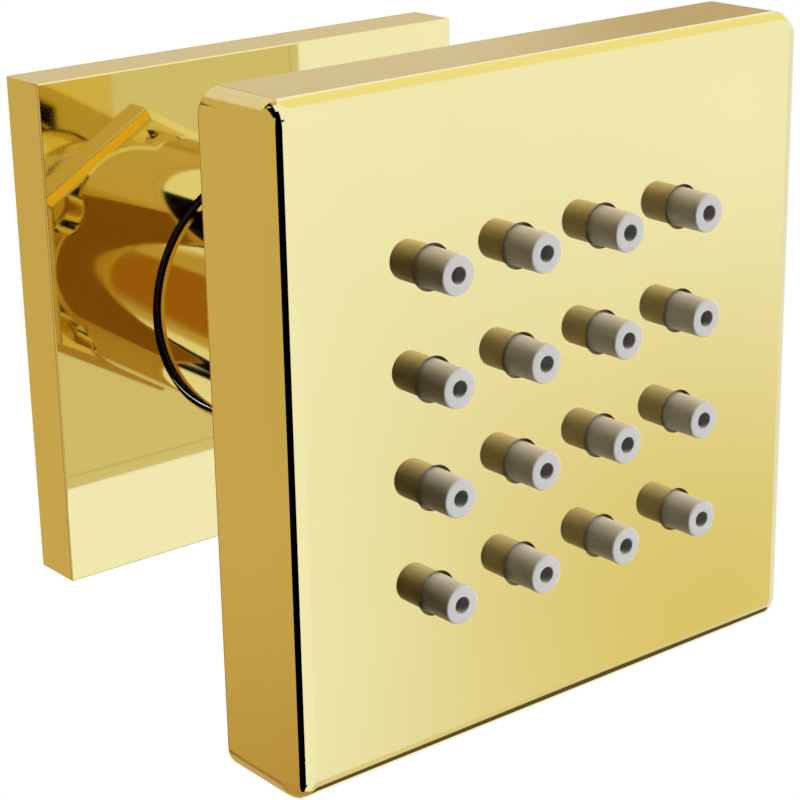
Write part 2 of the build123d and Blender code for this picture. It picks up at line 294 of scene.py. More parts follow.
room_out = room.nodes.new("ShaderNodeOutputWorld")
room.links.new(chosen.outputs[0], room_out.inputs["Surface"])
print("the camera sees white, the metal sees the room")

# %% [markdown]
# ### Cards close to the jet
# A photographer sets a narrow black flag close to a mirrored edge, so that it draws a crisp dark line there,
# and a brown board where a mirrored part would come out too pale. Painted on the room they would darken other
# faces too. As small cards in front of the head's left edge and left of the flange they reach those places
# alone. The camera doesn't see them, and they throw no shade.

# %% Black flag and brown board
FLAG_LEFT, FLAG_RIGHT = -0.0497, -0.0380
FLAG_FORWARD = 0.0724
FLAG_LOW, FLAG_HIGH = -0.090, 0.110
BOARD_LEFT, BOARD_RIGHT = -0.066, -0.036
BOARD_FORWARD = -0.004
BOARD_LOW, BOARD_HIGH = -0.070, 0.054
BOARD_SLOPE = 0.016
BOARD_BROWN = (0.314, 0.153, 0.041)


def studio_card(name, left, right, forward, low, high, colour, slope=0.0):
    """An upright card square to the axis, of one even colour, that only mirrors see. Its top can slope up to
    the right."""
    bpy.ops.object.select_all(action="DESELECT")
    place = ((left + right) / 2, -forward, (low + high) / 2)
    bpy.ops.mesh.primitive_plane_add(size=1, location=place, rotation=(pi / 2, 0, 0))
    card = bpy.context.object
    card.name = name
    card.scale = (right - left, high - low, 1)
    bpy.ops.object.transform_apply(location=True, rotation=True, scale=True)
    for corner in card.data.vertices:
        if corner.co.x > place[0] and corner.co.z > place[2]:
            corner.co.z += slope
    paint = bpy.data.materials.new(name)
    paint.use_nodes = True
    even = paint.node_tree.nodes.new("ShaderNodeEmission")
    even.inputs["Color"].default_value = (*colour, 1.0)
    paint.node_tree.links.new(even.outputs[0], paint.node_tree.nodes["Material Output"].inputs["Surface"])
    card.data.materials.append(paint)
    card.visible_camera = False
    card.visible_diffuse = False
    card.visible_shadow = False
    print(name, "is", round(right - left, 4), "m wide")


studio_card("black_flag", FLAG_LEFT, FLAG_RIGHT, FLAG_FORWARD, FLAG_LOW, FLAG_HIGH, BLACK)
studio_card(
    "brown_board", BOARD_LEFT, BOARD_RIGHT, BOARD_FORWARD, BOARD_LOW, BOARD_HIGH, BOARD_BROWN, BOARD_SLOPE
)

# %% [markdown]
# ## The floor
# The jet hangs free in the picture, so the floor lies well below it. Near the jet's foot it is a plain pale
# surface that takes the soft shadow. Further out it turns to the white of the paper background for the
# camera, so that no horizon shows. The metal sees the room instead of the floor.

# %% Floor
FLOOR_DROP = 0.40
FLOOR_SIDE = 12.0
FLOOR_COLOUR = (0.68, 0.68, 0.68)
SHADOW_REACH = 0.25
WHITE_FROM = 0.5
WHITE_BELOW = 0.7
FLOOR_ROUGHNESS = 0.9

bpy.ops.object.select_all(action="DESELECT")
bpy.ops.mesh.primitive_plane_add(size=FLOOR_SIDE, location=(0, 0, -FLOOR_DROP))
floor = bpy.context.object
floor.name = "floor"
bpy.ops.object.transform_apply(location=True)
floor.visible_glossy = False
floor.visible_diffuse = False
floor_paint = bpy.data.materials.new("pale_floor")
floor_paint.use_nodes = True
nodes, links = floor_paint.node_tree.nodes, floor_paint.node_tree.links
pale = nodes["Principled BSDF"]
pale.inputs["Base Color"].default_value = (*FLOOR_COLOUR, 1.0)
pale.inputs["Roughness"].default_value = FLOOR_ROUGHNESS
spot = nodes.new("ShaderNodeTexCoord")
reach = nodes.new("ShaderNodeVectorMath")
reach.operation = "LENGTH"
links.new(spot.outputs["Object"], reach.inputs[0])
far = nodes.new("ShaderNodeMapRange")
far.interpolation_type = "SMOOTHSTEP"
links.new(reach.outputs["Value"], far.inputs["Value"])
far.inputs["From Min"].default_value = hypot(FLOOR_DROP, SHADOW_REACH)
far.inputs["From Max"].default_value = hypot(FLOOR_DROP, WHITE_FROM)
far.inputs["To Min"].default_value = WHITE_BELOW
seen = nodes.new("ShaderNodeLightPath")
whiten = nodes.new("ShaderNodeMath")
whiten.operation = "MULTIPLY"
links.new(far.outputs["Result"], whiten.inputs[0])
links.new(seen.outputs["Is Camera Ray"], whiten.inputs[1])
glow = nodes.new("ShaderNodeEmission")
glow.inputs["Color"].default_value = (*WHITE, 1.0)
blend = nodes.new("ShaderNodeMixShader")
links.new(whiten.outputs[0], blend.inputs["Fac"])
links.new(pale.outputs[0], blend.inputs[1])
links.new(glow.outputs[0], blend.inputs[2])
links.new(blend.outputs[0], nodes["Material Output"].inputs["Surface"])
floor.data.materials.append(floor_paint)
print("floor at", -FLOOR_DROP, "m")

# %% [markdown]
# ## Finishes
# Each finish is a small node tree on the piece's own Object coordinates, so it stays put when the jet moves.
# A helper makes the tree's start. Two more make what nearly every finish needs: a spread of values from a
# noise, and a bump.

# %% Helpers for finishes
MM = 0.001
NOISE_LOW, NOISE_HIGH = 0.3, 0.7


def new_finish(name):
    """A material, its shader and a socket with the piece's own coordinates."""
    material = bpy.data.materials.new(name)
    material.use_nodes = True
    shader = material.node_tree.nodes["Principled BSDF"]
    place = material.node_tree.nodes.new("ShaderNodeTexCoord")
    return material, shader, place.outputs["Object"]


def noise_of(material, place, grain, stretch=(1, 1, 1), detail=3.0):
    """A noise whose grain has a size in metres, stretched along the axes."""
    nodes, links = material.node_tree.nodes, material.node_tree.links
    mapping = nodes.new("ShaderNodeMapping")
    mapping.inputs["Scale"].default_value = stretch
    links.new(place, mapping.inputs["Vector"])
    noise = nodes.new("ShaderNodeTexNoise")
    noise.inputs["Scale"].default_value = 1 / grain
    noise.inputs["Detail"].default_value = detail
    links.new(mapping.outputs["Vector"], noise.inputs["Vector"])
    return noise.outputs["Fac"]


def spread(material, value, low, high):
    """Maps a noise to a range of plain numbers."""
    node = material.node_tree.nodes.new("ShaderNodeMapRange")
    material.node_tree.links.new(value, node.inputs["Value"])
    node.inputs["From Min"].default_value = NOISE_LOW
    node.inputs["From Max"].default_value = NOISE_HIGH
    node.inputs["To Min"].default_value = low
    node.inputs["To Max"].default_value = high
    return node.outputs["Result"]


def tint(material, value, dark, light):
    """Maps a noise to a range of colours."""
    ramp = material.node_tree.nodes.new("ShaderNodeValToRGB")
    ramp.color_ramp.elements[0].position = NOISE_LOW
    ramp.color_ramp.elements[0].color = (*dark, 1.0)
    ramp.color_ramp.elements[1].position = NOISE_HIGH
    ramp.color_ramp.elements[1].color = (*light, 1.0)
    material.node_tree.links.new(value, ramp.inputs["Fac"])
    return ramp.outputs["Color"]


def add_bump(material, shader, height, depth, strength=1.0):
    """A bump whose full height is a depth in metres."""
    bump = material.node_tree.nodes.new("ShaderNodeBump")
    bump.inputs["Distance"].default_value = depth
    bump.inputs["Strength"].default_value = strength
    material.node_tree.links.new(height, bump.inputs["Height"])
    material.node_tree.links.new(bump.outputs["Normal"], shader.inputs["Normal"])


print("finish helpers ready")

# %% [markdown]
# ### Polished gold
# The visible metal is brass with a thin gold-coloured coating, polished to a mirror. Metallic 1 with a pale
# yellow base gives its reflection, and the shader brightens it at grazing angles as real metal does.
# Polishing leaves only a faint unevenness of gloss, so a broad noise moves the roughness by a few hundredths.

# %% Polished gold
GOLD_DARK = (0.83, 0.712, 0.34)
GOLD_LIGHT = (0.85, 0.738, 0.36)
GOLD_CLOUD = 30 * MM
GOLD_HAZE = 6 * MM
GOLD_ROUGHNESS = (0.03, 0.05)


def polished_gold():
    """Mirror gold with a trace of polishing."""
    material, shader, place = new_finish("polished_gold")
    links = material.node_tree.links
    cloud = noise_of(material, place, GOLD_CLOUD)
    haze = noise_of(material, place, GOLD_HAZE, detail=5.0)
    links.new(tint(material, cloud, GOLD_DARK, GOLD_LIGHT), shader.inputs["Base Color"])
    links.new(spread(material, haze, *GOLD_ROUGHNESS), shader.inputs["Roughness"])
    shader.inputs["Metallic"].default_value = 1.0
    return material


print("gold base:", GOLD_LIGHT)

# %% [markdown]
# ### Turned brass and steel
# The inlet is bare brass from the lathe: fine rings run round its axis, so the noise is stretched until it
# changes along the axis only. The strainer and the screws are bright steel with a fine even grain.

# %% Turned brass and bright steel
ALONG_AXIS = (0.02, 1.0, 0.02)
BRASS_RINGS = 0.25 * MM
BRASS_TARNISH = 5 * MM
BRASS_DARK = (0.72, 0.52, 0.24)
BRASS_LIGHT = (0.83, 0.63, 0.32)
BRASS_ROUGHNESS = (0.22, 0.36)
STEEL_GRAIN = 0.3 * MM
STEEL_DARK = (0.60, 0.60, 0.61)
STEEL_LIGHT = (0.68, 0.68, 0.68)
STEEL_ROUGHNESS = (0.24, 0.34)
FINE_BUMP = 0.01 * MM


def raw_brass():
    """Bare turned brass."""
    material, shader, place = new_finish("raw_brass")
    links = material.node_tree.links
    rings = noise_of(material, place, BRASS_RINGS, ALONG_AXIS)
    tarnish = noise_of(material, place, BRASS_TARNISH)
    links.new(tint(material, tarnish, BRASS_DARK, BRASS_LIGHT), shader.inputs["Base Color"])
    links.new(spread(material, rings, *BRASS_ROUGHNESS), shader.inputs["Roughness"])
    shader.inputs["Metallic"].default_value = 1.0
    add_bump(material, shader, rings, FINE_BUMP, 0.4)
    return material


def stainless():
    """Bright steel."""
    material, shader, place = new_finish("stainless")
    links = material.node_tree.links
    grain = noise_of(material, place, STEEL_GRAIN, detail=6.0)
    links.new(tint(material, grain, STEEL_DARK, STEEL_LIGHT), shader.inputs["Base Color"])
    links.new(spread(material, grain, *STEEL_ROUGHNESS), shader.inputs["Roughness"])
    shader.inputs["Metallic"].default_value = 1.0
    return material


print("brass and steel ready")

# %% [markdown]
# ### Silicone
# The nozzles are pale grey silicone, quite matt, with a fine moulded grain. Little light gets into their
# narrow bores, so shade is painted there as a darker base colour. A second material on the bores' faces could
# carry that painted shade. A mask round each nozzle's axis does it without picking any faces: the grid
# repeats, so one wrapped distance serves all.

# %% Silicone
NOZZLE_PITCH = 11.25 * MM
SILICONE_GRAIN = 0.4 * MM
SILICONE_DARK = (0.655, 0.655, 0.66)
SILICONE_LIGHT = (0.70, 0.70, 0.70)
SILICONE_ROUGHNESS = (0.52, 0.62)
SILICONE_GLOSS = 0.04
# Painted shade: the bores' walls get this darker base colour, as little light reaches them.
PAINTED_BORE_SHADE = (0.48, 0.48, 0.47)
PAINTED_SHADE_FROM = 0.86 * MM
PAINTED_SHADE_TO = 0.91 * MM


def painted_bore_shade_mask(material, place):
    """Painted shade mask: 0 inside the nozzles' bores and 1 outside, from the distance to the nearest nozzle's
    axis.
    """
    nodes, links = material.node_tree.nodes, material.node_tree.links
    spot = nodes.new("ShaderNodeSeparateXYZ")
    links.new(place, spot.inputs[0])
    near = nodes.new("ShaderNodeCombineXYZ")
    for axis in ("X", "Z"):
        shifted = nodes.new("ShaderNodeMath")
        shifted.operation = "ADD"
        links.new(spot.outputs[axis], shifted.inputs[0])
        shifted.inputs[1].default_value = NOZZLE_PITCH / 2
        wrapped = nodes.new("ShaderNodeMath")
        wrapped.operation = "WRAP"
        links.new(shifted.outputs[0], wrapped.inputs[0])
        wrapped.inputs[1].default_value = NOZZLE_PITCH / 2
        wrapped.inputs[2].default_value = -NOZZLE_PITCH / 2
        links.new(wrapped.outputs[0], near.inputs[axis])
    away = nodes.new("ShaderNodeVectorMath")
    away.operation = "LENGTH"
    links.new(near.outputs[0], away.inputs[0])
    mask = nodes.new("ShaderNodeMapRange")
    links.new(away.outputs["Value"], mask.inputs["Value"])
    mask.inputs["From Min"].default_value = PAINTED_SHADE_FROM
    mask.inputs["From Max"].default_value = PAINTED_SHADE_TO
    return mask.outputs["Result"]


def silicone():
    """Matt pale grey silicone with a fine moulded grain, with painted shade inside the nozzles' bores."""
    material, shader, place = new_finish("silicone")
    nodes, links = material.node_tree.nodes, material.node_tree.links
    grain = noise_of(material, place, SILICONE_GRAIN, detail=6.0)
    pale = tint(material, grain, SILICONE_DARK, SILICONE_LIGHT)
    # Painted shade: the mask darkens the base colour inside the bores.
    shaded = nodes.new("ShaderNodeMix")
    shaded.data_type = "RGBA"
    links.new(painted_bore_shade_mask(material, place), shaded.inputs["Factor"])
    shaded.inputs["A"].default_value = (*PAINTED_BORE_SHADE, 1.0)
    links.new(pale, shaded.inputs["B"])
    links.new(shaded.outputs["Result"], shader.inputs["Base Color"])
    links.new(spread(material, grain, *SILICONE_ROUGHNESS), shader.inputs["Roughness"])
    shader.inputs["Specular IOR Level"].default_value = SILICONE_GLOSS
    add_bump(material, shader, grain, FINE_BUMP, 0.3)
    return material


print("silicone is darker within", PAINTED_SHADE_FROM / MM, "mm of a nozzle's axis")

# %% [markdown]
# ### Rubber, foam and plastics
# Seals are black rubber with a fine moulded grain. The wall gasket is closed-cell foam, whose cells are a
# Voronoi pattern. The inner plastic pieces are plain mouldings, so one function makes both shades of them.

# %% Rubber, foam and plastics
RUBBER_GRAIN = 0.25 * MM
RUBBER_DARK = (0.012, 0.012, 0.012)
RUBBER_LIGHT = (0.022, 0.022, 0.022)
RUBBER_ROUGHNESS = (0.38, 0.55)
FOAM_CELL = 0.45 * MM
FOAM_DEPTH = 0.12 * MM
FOAM_OPEN = (0.05, 0.05, 0.052)
FOAM_WALL = (0.018, 0.018, 0.02)
FOAM_ROUGHNESS = 0.85
PLASTIC_GRAIN = 0.5 * MM
PLASTIC_ROUGHNESS = (0.36, 0.48)
GREY_DARK, GREY_LIGHT = (0.42, 0.43, 0.44), (0.47, 0.48, 0.49)
IVORY_DARK, IVORY_LIGHT = (0.84, 0.84, 0.82), (0.89, 0.89, 0.87)


def black_rubber():
    """Moulded black rubber."""
    material, shader, place = new_finish("black_rubber")
    links = material.node_tree.links
    grain = noise_of(material, place, RUBBER_GRAIN, detail=6.0)
    links.new(tint(material, grain, RUBBER_DARK, RUBBER_LIGHT), shader.inputs["Base Color"])
    links.new(spread(material, grain, *RUBBER_ROUGHNESS), shader.inputs["Roughness"])
    add_bump(material, shader, grain, FINE_BUMP, 0.5)
    return material


def black_foam():
    """Closed-cell foam."""
    material, shader, place = new_finish("black_foam")
    nodes, links = material.node_tree.nodes, material.node_tree.links
    cells = nodes.new("ShaderNodeTexVoronoi")
    cells.inputs["Scale"].default_value = 1 / FOAM_CELL
    links.new(place, cells.inputs["Vector"])
    walls = cells.outputs["Distance"]
    links.new(tint(material, walls, FOAM_OPEN, FOAM_WALL), shader.inputs["Base Color"])
    shader.inputs["Roughness"].default_value = FOAM_ROUGHNESS
    add_bump(material, shader, walls, -FOAM_DEPTH, 0.8)
    return material


def moulded_plastic(name, dark, light):
    """A plain moulded plastic between two close shades."""
    material, shader, place = new_finish(name)
    links = material.node_tree.links
    grain = noise_of(material, place, PLASTIC_GRAIN, detail=5.0)
    links.new(tint(material, grain, dark, light), shader.inputs["Base Color"])
    links.new(spread(material, grain, *PLASTIC_ROUGHNESS), shader.inputs["Roughness"])
    add_bump(material, shader, grain, FINE_BUMP, 0.3)
    return material


FINISHES = {
    "polished_gold": polished_gold(),
    "raw_brass": raw_brass(),
    "stainless": stainless(),
    "silicone": silicone(),
    "black_rubber": black_rubber(),
    "black_foam": black_foam(),
    "grey_plastic": moulded_plastic("grey_plastic", GREY_DARK, GREY_LIGHT),
    "white_plastic": moulded_plastic("white_plastic", IVORY_DARK, IVORY_LIGHT),
}
print("finishes:", sorted(FINISHES))

# %% [markdown]
# ### Finishes on the CAD pieces
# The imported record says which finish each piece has. Every CAD node gets its own at once, so that the pieces
# that stay as they are, deep inside the jet, are dressed too.

# %% Dress the CAD nodes
SLOT_OF = {row["node"]: row["material_slot"] for row in frame["record"]["subparts"]}
for name, node in frame["nodes"].items():
    node.data.materials.clear()
    node.data.materials.append(FINISHES[SLOT_OF[name]])
print("dressed:", len(SLOT_OF))

# %% [markdown]
# ## Helpers for modelling
# A modeller at the screen picks faces and edges by eye. A script picks them by their place, so these helpers
# select what passes a test. Places along the jet's axis are written as distances forward of the wall, which
# is towards minus Y.

# %% Selecting
NEAR = 2e-6


def fresh():
    """Leaves edit mode and clears the selection, because an operator acts on all that is selected."""
    if bpy.context.mode != "OBJECT":
        bpy.ops.object.mode_set(mode="OBJECT")
    bpy.ops.object.select_all(action="DESELECT")


def choose(kind, test):
    """Selects, in edit mode, the vertices, edges or faces that pass a test."""
    bpy.ops.mesh.select_mode(type=kind)
    bpy.ops.mesh.select_all(action="DESELECT")
    mesh = bmesh.from_edit_mesh(bpy.context.object.data)
    for part in {"VERT": mesh.verts, "EDGE": mesh.edges, "FACE": mesh.faces}[kind]:
        if test(part):
            part.select_set(True)
    bmesh.update_edit_mesh(bpy.context.object.data)


def at_forward(forward):
    """A test for edges and faces that lie square to the axis at one place."""
    return lambda part: all(abs(corner.co.y + forward) < NEAR for corner in part.verts)


def along_axis(edge):
    """A test for edges that run along the axis."""
    first, second = edge.verts
    return hypot(first.co.x - second.co.x, first.co.z - second.co.z) < NEAR


def round_edges(test, radius, segments):
    """Bevels the edges that pass a test to a round."""
    choose("EDGE", test)
    bpy.ops.mesh.bevel(offset=radius, segments=segments, affect="EDGES", clamp_overlap=False)


print("selection helpers ready")

# %% [markdown]
# ### A square block and a lathe
# Nearly every piece here is cut from a square plate or turned on a lathe. The block starts from a cube. The
# lathe starts from one point: extrude draws the straight runs of half a section, spin draws its arcs, and one
# full spin round the jet's axis turns the section into a solid.

# %% Block and lathe
ROUND_STEPS = 160
SMALL_STEPS = 96
EDGE_STEPS = 3
ARC_STEP = radians(3)


def block(name, side, rear, front):
    """A square plate across the axis, open for editing."""
    fresh()
    middle = -(rear + front) / 2
    bpy.ops.mesh.primitive_cube_add(size=1, location=(0, middle, 0), scale=(side, front - rear, side))
    bpy.ops.object.transform_apply(location=True, rotation=True, scale=True)
    bpy.context.object.name = name
    bpy.ops.object.mode_set(mode="EDIT")
    return bpy.context.object


def start_section(name, radius, forward):
    """One vertex in the section's plane, open for editing."""
    fresh()
    bpy.ops.mesh.primitive_plane_add(size=MM, location=(radius, -forward, 0))
    bpy.ops.object.transform_apply(location=True)
    bpy.context.object.name = name
    bpy.ops.object.mode_set(mode="EDIT")
    bpy.ops.mesh.select_mode(type="VERT")
    bpy.ops.mesh.merge(type="CENTER")
    return bpy.context.object


def spin_section(steps):
    """Turns the drawn section once round the axis and closes it."""
    bpy.ops.mesh.select_all(action="SELECT")
    bpy.ops.mesh.spin(steps=steps, angle=tau, center=(0, 0, 0), axis=(0, 1, 0))
    bpy.ops.mesh.select_all(action="SELECT")
    bpy.ops.mesh.remove_doubles(threshold=NEAR)
    bpy.ops.mesh.normals_make_consistent(inside=False)


def lathe(name, corners, rounds=(), steps=ROUND_STEPS):
    """A turned piece. A corner is (radius, forward), and a third number makes it an arc about that place on
    the axis. A round is (corner's number, size, segments)."""
    radius, forward = corners[0]
    piece = start_section(name, radius, forward)
    for corner in corners[1:]:
        if len(corner) == 3:
            centre = corner[2]
            turn = atan2(corner[1] - centre, corner[0]) - atan2(forward - centre, radius)
            arc_steps = max(2, ceil(abs(turn) / ARC_STEP))
            bpy.ops.mesh.spin(steps=arc_steps, angle=turn, center=(0, -centre, 0), axis=(0, 0, 1))
        else:
            shift = (corner[0] - radius, forward - corner[1], 0)
            bpy.ops.mesh.extrude_region_move(TRANSFORM_OT_translate={"value": shift})
        radius, forward = corner[:2]
    bpy.ops.mesh.select_all(action="SELECT")
    bpy.ops.mesh.remove_doubles(threshold=NEAR)
    for number, size, segments in rounds:
        spot = corners[number]
        choose("VERT", lambda v: hypot(v.co.x - spot[0], v.co.y + spot[1]) < NEAR)
        bpy.ops.mesh.bevel(offset=size, segments=segments, affect="VERTICES", clamp_overlap=False)
    spin_section(steps)
    return piece


print("block and lathe ready")

# %% [markdown]
# ### Joining, cutting and completing
# Holes, bosses and collars are made with Boolean modifiers, applied at once. A finished piece is shaded
# smooth up to an angle, and weighted normals keep its flat faces truly flat beside their rounds, which a
# mirror needs. Then it takes its CAD node's place, body and finish.

# %% Boolean and completing
SMOOTH_ANGLE = radians(32)


def activate(piece):
    """Selects one piece alone."""
    fresh()
    piece.select_set(True)
    bpy.context.view_layer.objects.active = piece


def combine(piece, tool, operation):
    """Applies a Boolean with a tool, and removes the tool."""
    activate(piece)
    bpy.ops.object.modifier_add(type="BOOLEAN")
    modifier = piece.modifiers[-1]
    modifier.operation = operation
    modifier.solver = "EXACT"
    modifier.object = tool
    bpy.ops.object.modifier_apply(modifier=modifier.name)
    bpy.data.objects.remove(tool)


def complete(piece, node):
    """Smooths a piece and puts it in its CAD node's place."""
    activate(piece)
    bpy.ops.object.mode_set(mode="EDIT")
    bpy.ops.mesh.select_all(action="SELECT")
    bpy.ops.mesh.remove_doubles(threshold=NEAR / 2)
    bpy.ops.object.mode_set(mode="OBJECT")
    bpy.ops.object.shade_smooth_by_angle(angle=SMOOTH_ANGLE)
    bpy.ops.object.modifier_add(type="WEIGHTED_NORMAL")
    piece.modifiers[-1].keep_sharp = True
    bpy.ops.object.modifier_apply(modifier=piece.modifiers[-1].name)
    piece.data.materials.clear()
    piece.data.materials.append(FINISHES[SLOT_OF[node]])
    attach(piece, frame["nodes"][node]["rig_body"])
    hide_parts(node)
    print(piece.name, "stands for", node, "with", len(piece.data.polygons), "faces")


print("completing helpers ready")

# %% [markdown]
# ## Wall flange
# The flange is a square brass shell, open at the back, that covers the hole in the wall. Its face is a flat
# mirror with small soft edges. A thin plate could be given its walls by a Solidify modifier. A cube whose
# back is inset and pushed in has them at once, and then its outer edges are rounded.

# %% Flange shell
FLANGE_WALL = 2.0 * MM
FLANGE_FACE = 2.2 * MM
FLANGE_EDGE = 0.2 * MM
FLANGE_EDGE_STEPS = 4
flange_low, flange_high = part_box("wall_flange")
flange_side = flange_high.x - flange_low.x
flange_front = -flange_low.y

flange = block("flange_shell", flange_side, 0, flange_front)
choose("FACE", at_forward(0))
bpy.ops.mesh.inset(thickness=FLANGE_WALL)
push_in = flange_front - FLANGE_FACE
bpy.ops.mesh.extrude_region_move(TRANSFORM_OT_translate={"value": (0, -push_in, 0)})
front_loop = at_forward(flange_front)
outside = flange_side / 2 - NEAR


def outer_edge(edge):
    """A test for the flange's front edges and its four outer corners."""
    return front_loop(edge) or (along_axis(edge) and abs(edge.verts[0].co.x) > outside)


round_edges(outer_edge, FLANGE_EDGE, FLANGE_EDGE_STEPS)
print("flange side:", round(flange_side / MM, 2), "mm")

# %% [markdown]
# ### Collar, hole and groove
# Inside the shell a round collar stiffens the face, and the barrel passes through it. A groove in the hole
# keeps the ring that grips the barrel. Both are turned shapes, so they come from the lathe. The collar is
# joined first, and one tool then cuts hole, groove and the front's small chamfer together.

# %% Flange collar and hole
BARREL_RADIUS = 15.15 * MM
HOLE_RADIUS = 15.65 * MM
HOLE_EDGE = 0.3 * MM
COLLAR_RADIUS = 19.35 * MM
COLLAR_REAR = 1.05 * MM
COLLAR_ROUND = 0.2 * MM
GROOVE_RADIUS = 16.95 * MM
GROOVE_REAR = 3.8 * MM
GROOVE_FRONT = 5.6 * MM
BEYOND = 1.0 * MM

collar_front = flange_front - FLANGE_FACE / 2
collar = lathe(
    "collar",
    [(0, COLLAR_REAR), (COLLAR_RADIUS, COLLAR_REAR), (COLLAR_RADIUS, collar_front), (0, collar_front)],
    rounds=[(1, COLLAR_ROUND, EDGE_STEPS)],
)
combine(flange, collar, "UNION")
hole = lathe(
    "hole",
    [
        (0, -BEYOND),
        (HOLE_RADIUS, -BEYOND),
        (HOLE_RADIUS, GROOVE_REAR),
        (GROOVE_RADIUS, GROOVE_REAR),
        (GROOVE_RADIUS, GROOVE_FRONT),
        (HOLE_RADIUS, GROOVE_FRONT),
        (HOLE_RADIUS, flange_front - HOLE_EDGE),
        (HOLE_RADIUS + HOLE_EDGE, flange_front),
        (HOLE_RADIUS + HOLE_EDGE, flange_front + BEYOND),
        (0, flange_front + BEYOND),
    ],
)
combine(flange, hole, "DIFFERENCE")
complete(flange, "wall_flange")

# %% [markdown]
# ## Gripping ring
# A black ring sits in the flange's groove and grips the barrel, so only a dark line shows between the two.
# A torus would do, but a circle spun round the axis takes its sizes straight from the CAD node's box.

# %% Gripping ring
RING_POINTS = 40
ring_low, ring_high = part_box("flange_o_ring")
ring_section = (ring_high.y - ring_low.y) / 2
ring_middle = (ring_high.y + ring_low.y) / 2
fresh()
bpy.ops.mesh.primitive_circle_add(
    vertices=RING_POINTS, radius=ring_section, location=(ring_high.x - ring_section, ring_middle, 0)
)
bpy.ops.object.transform_apply(location=True)
grip = bpy.context.object
grip.name = "grip_ring"
bpy.ops.object.mode_set(mode="EDIT")
spin_section(ROUND_STEPS)
complete(grip, "flange_o_ring")

# %% [markdown]
# ## Wall gasket
# A frame of foam lies inside the flange's rim and seals it against the wall. Four strips could be joined at
# the corners. It is quicker to inset both faces of one plate and to bridge the two insets into a window.

# %% Wall gasket
GASKET_WIDTH = 3.2 * MM
GASKET_EDGE = 0.3 * MM
FACE_TO_WALL = 0.5
gasket_low, gasket_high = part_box("wall_gasket")
gasket_front = -gasket_low.y
gasket = block("wall_seal", gasket_high.x - gasket_low.x, 0, gasket_front)
either_face = [at_forward(0), at_forward(gasket_front)]
choose("FACE", lambda face: any(test(face) for test in either_face))
bpy.ops.mesh.inset(thickness=GASKET_WIDTH)
bpy.ops.mesh.bridge_edge_loops()


def gasket_rim(edge):
    """A test for the edges between a face of the gasket and a wall of it."""
    if len(edge.link_faces) != 2 or not any(test(edge) for test in either_face):
        return False
    return abs(edge.link_faces[0].normal.y - edge.link_faces[1].normal.y) > FACE_TO_WALL


round_edges(gasket_rim, GASKET_EDGE, EDGE_STEPS)
complete(gasket, "wall_gasket")

# %% [markdown]
# ## Barrel nut
# The barrel and its hexagon are one piece, turned from hexagon bar: the hexagon stays where a spanner holds
# it. It could be drawn as a six-cornered outline and extruded. A cylinder with six sides is that already, and
# its edges only need their bevels.

# %% Hexagon
nut_low, nut_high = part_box("ball_nut")
HEX_REAR = 29.25 * MM
HEX_REAR_BEVEL = 1.1 * MM
HEX_FRONT_BEVEL = 0.5 * MM
HEX_EDGE = 0.16 * MM
HEX_EDGE_STEPS = 4
SHARP_ANGLE = radians(20)
hex_front = -nut_low.y
hex_apothem = nut_high.x
fresh()
bpy.ops.mesh.primitive_cylinder_add(
    vertices=6,
    radius=hex_apothem / cos(pi / 6),
    depth=hex_front - HEX_REAR,
    location=(0, -(hex_front + HEX_REAR) / 2, 0),
    rotation=(pi / 2, 0, 0),
)
bpy.ops.object.transform_apply(location=True, rotation=True)
nut = bpy.context.object
nut.name = "barrel_nut"
bpy.ops.object.mode_set(mode="EDIT")
round_edges(at_forward(HEX_REAR), HEX_REAR_BEVEL, 1)
round_edges(at_forward(hex_front), HEX_FRONT_BEVEL, 1)
round_edges(lambda edge: edge.calc_face_angle() > SHARP_ANGLE, HEX_EDGE, HEX_EDGE_STEPS)
print("hexagon across flats:", round(2 * hex_apothem / MM, 2), "mm")

# %% [markdown]
# ### Barrel with corner reliefs
# Behind the hexagon the bar is turned down to the barrel, and a ball-nosed cutter has relieved the foot of
# each corner. The cutter's shape is turned once, copied round the axis and cut from the barrel, before barrel
# and hexagon are joined. Cut from the joined nut, it would also nick the hexagon.

# %% Barrel with corner reliefs
RELIEF_CUTTER = 3.5 * MM
RELIEF_DEPTH = 1.25 * MM
RELIEF_RUN = 1.6 * MM
BARREL_REAR = 2.5 * MM
BARREL_ROUND = 0.4 * MM
BARREL_STEPS = 240
barrel_end = HEX_REAR + HEX_REAR_BEVEL + BEYOND
barrel = lathe(
    "barrel",
    [(0, BARREL_REAR), (BARREL_RADIUS, BARREL_REAR), (BARREL_RADIUS, barrel_end), (0, barrel_end)],
    rounds=[(1, BARREL_ROUND, EDGE_STEPS)],
    steps=BARREL_STEPS,
)
nose = HEX_REAR - RELIEF_RUN
cutters = lathe(
    "corner_cutters",
    [
        (0, nose - RELIEF_CUTTER),
        (RELIEF_CUTTER, nose, nose),
        (RELIEF_CUTTER, HEX_REAR + BEYOND / 2),
        (0, HEX_REAR + BEYOND / 2),
    ],
    steps=SMALL_STEPS,
)
rise = BARREL_RADIUS - RELIEF_DEPTH + RELIEF_CUTTER
bpy.ops.mesh.select_all(action="SELECT")
bpy.ops.transform.translate(value=(0, 0, rise))
for corner in range(5):
    bpy.ops.mesh.duplicate()
    bpy.ops.transform.rotate(value=pi / 3, orient_axis="Y", center_override=(0, 0, 0))
combine(barrel, cutters, "DIFFERENCE")
combine(nut, barrel, "UNION")
print("six corners relieved")

# %% [markdown]
# ### Bore and lip
# The barrel is hollow: a thread at the rear takes the inlet, then comes the bore for the ball's seat, and in
# front a spherical lip keeps the ball in. One turned tool with an arc for the lip cuts it all in one go.

# %% Bore and lip
BALL_CENTRE = 30.0 * MM
LIP_SPHERE = 12.4 * MM
THREAD_BORE = 14.0 * MM
THREAD_END = 17.952 * MM
SEAT_BORE = 13.35 * MM
LIP_REAR = 32.6 * MM


def on_sphere(radius, forward):
    """Distance from the axis to a sphere round the ball's centre."""
    return sqrt(radius**2 - (forward - BALL_CENTRE) ** 2)


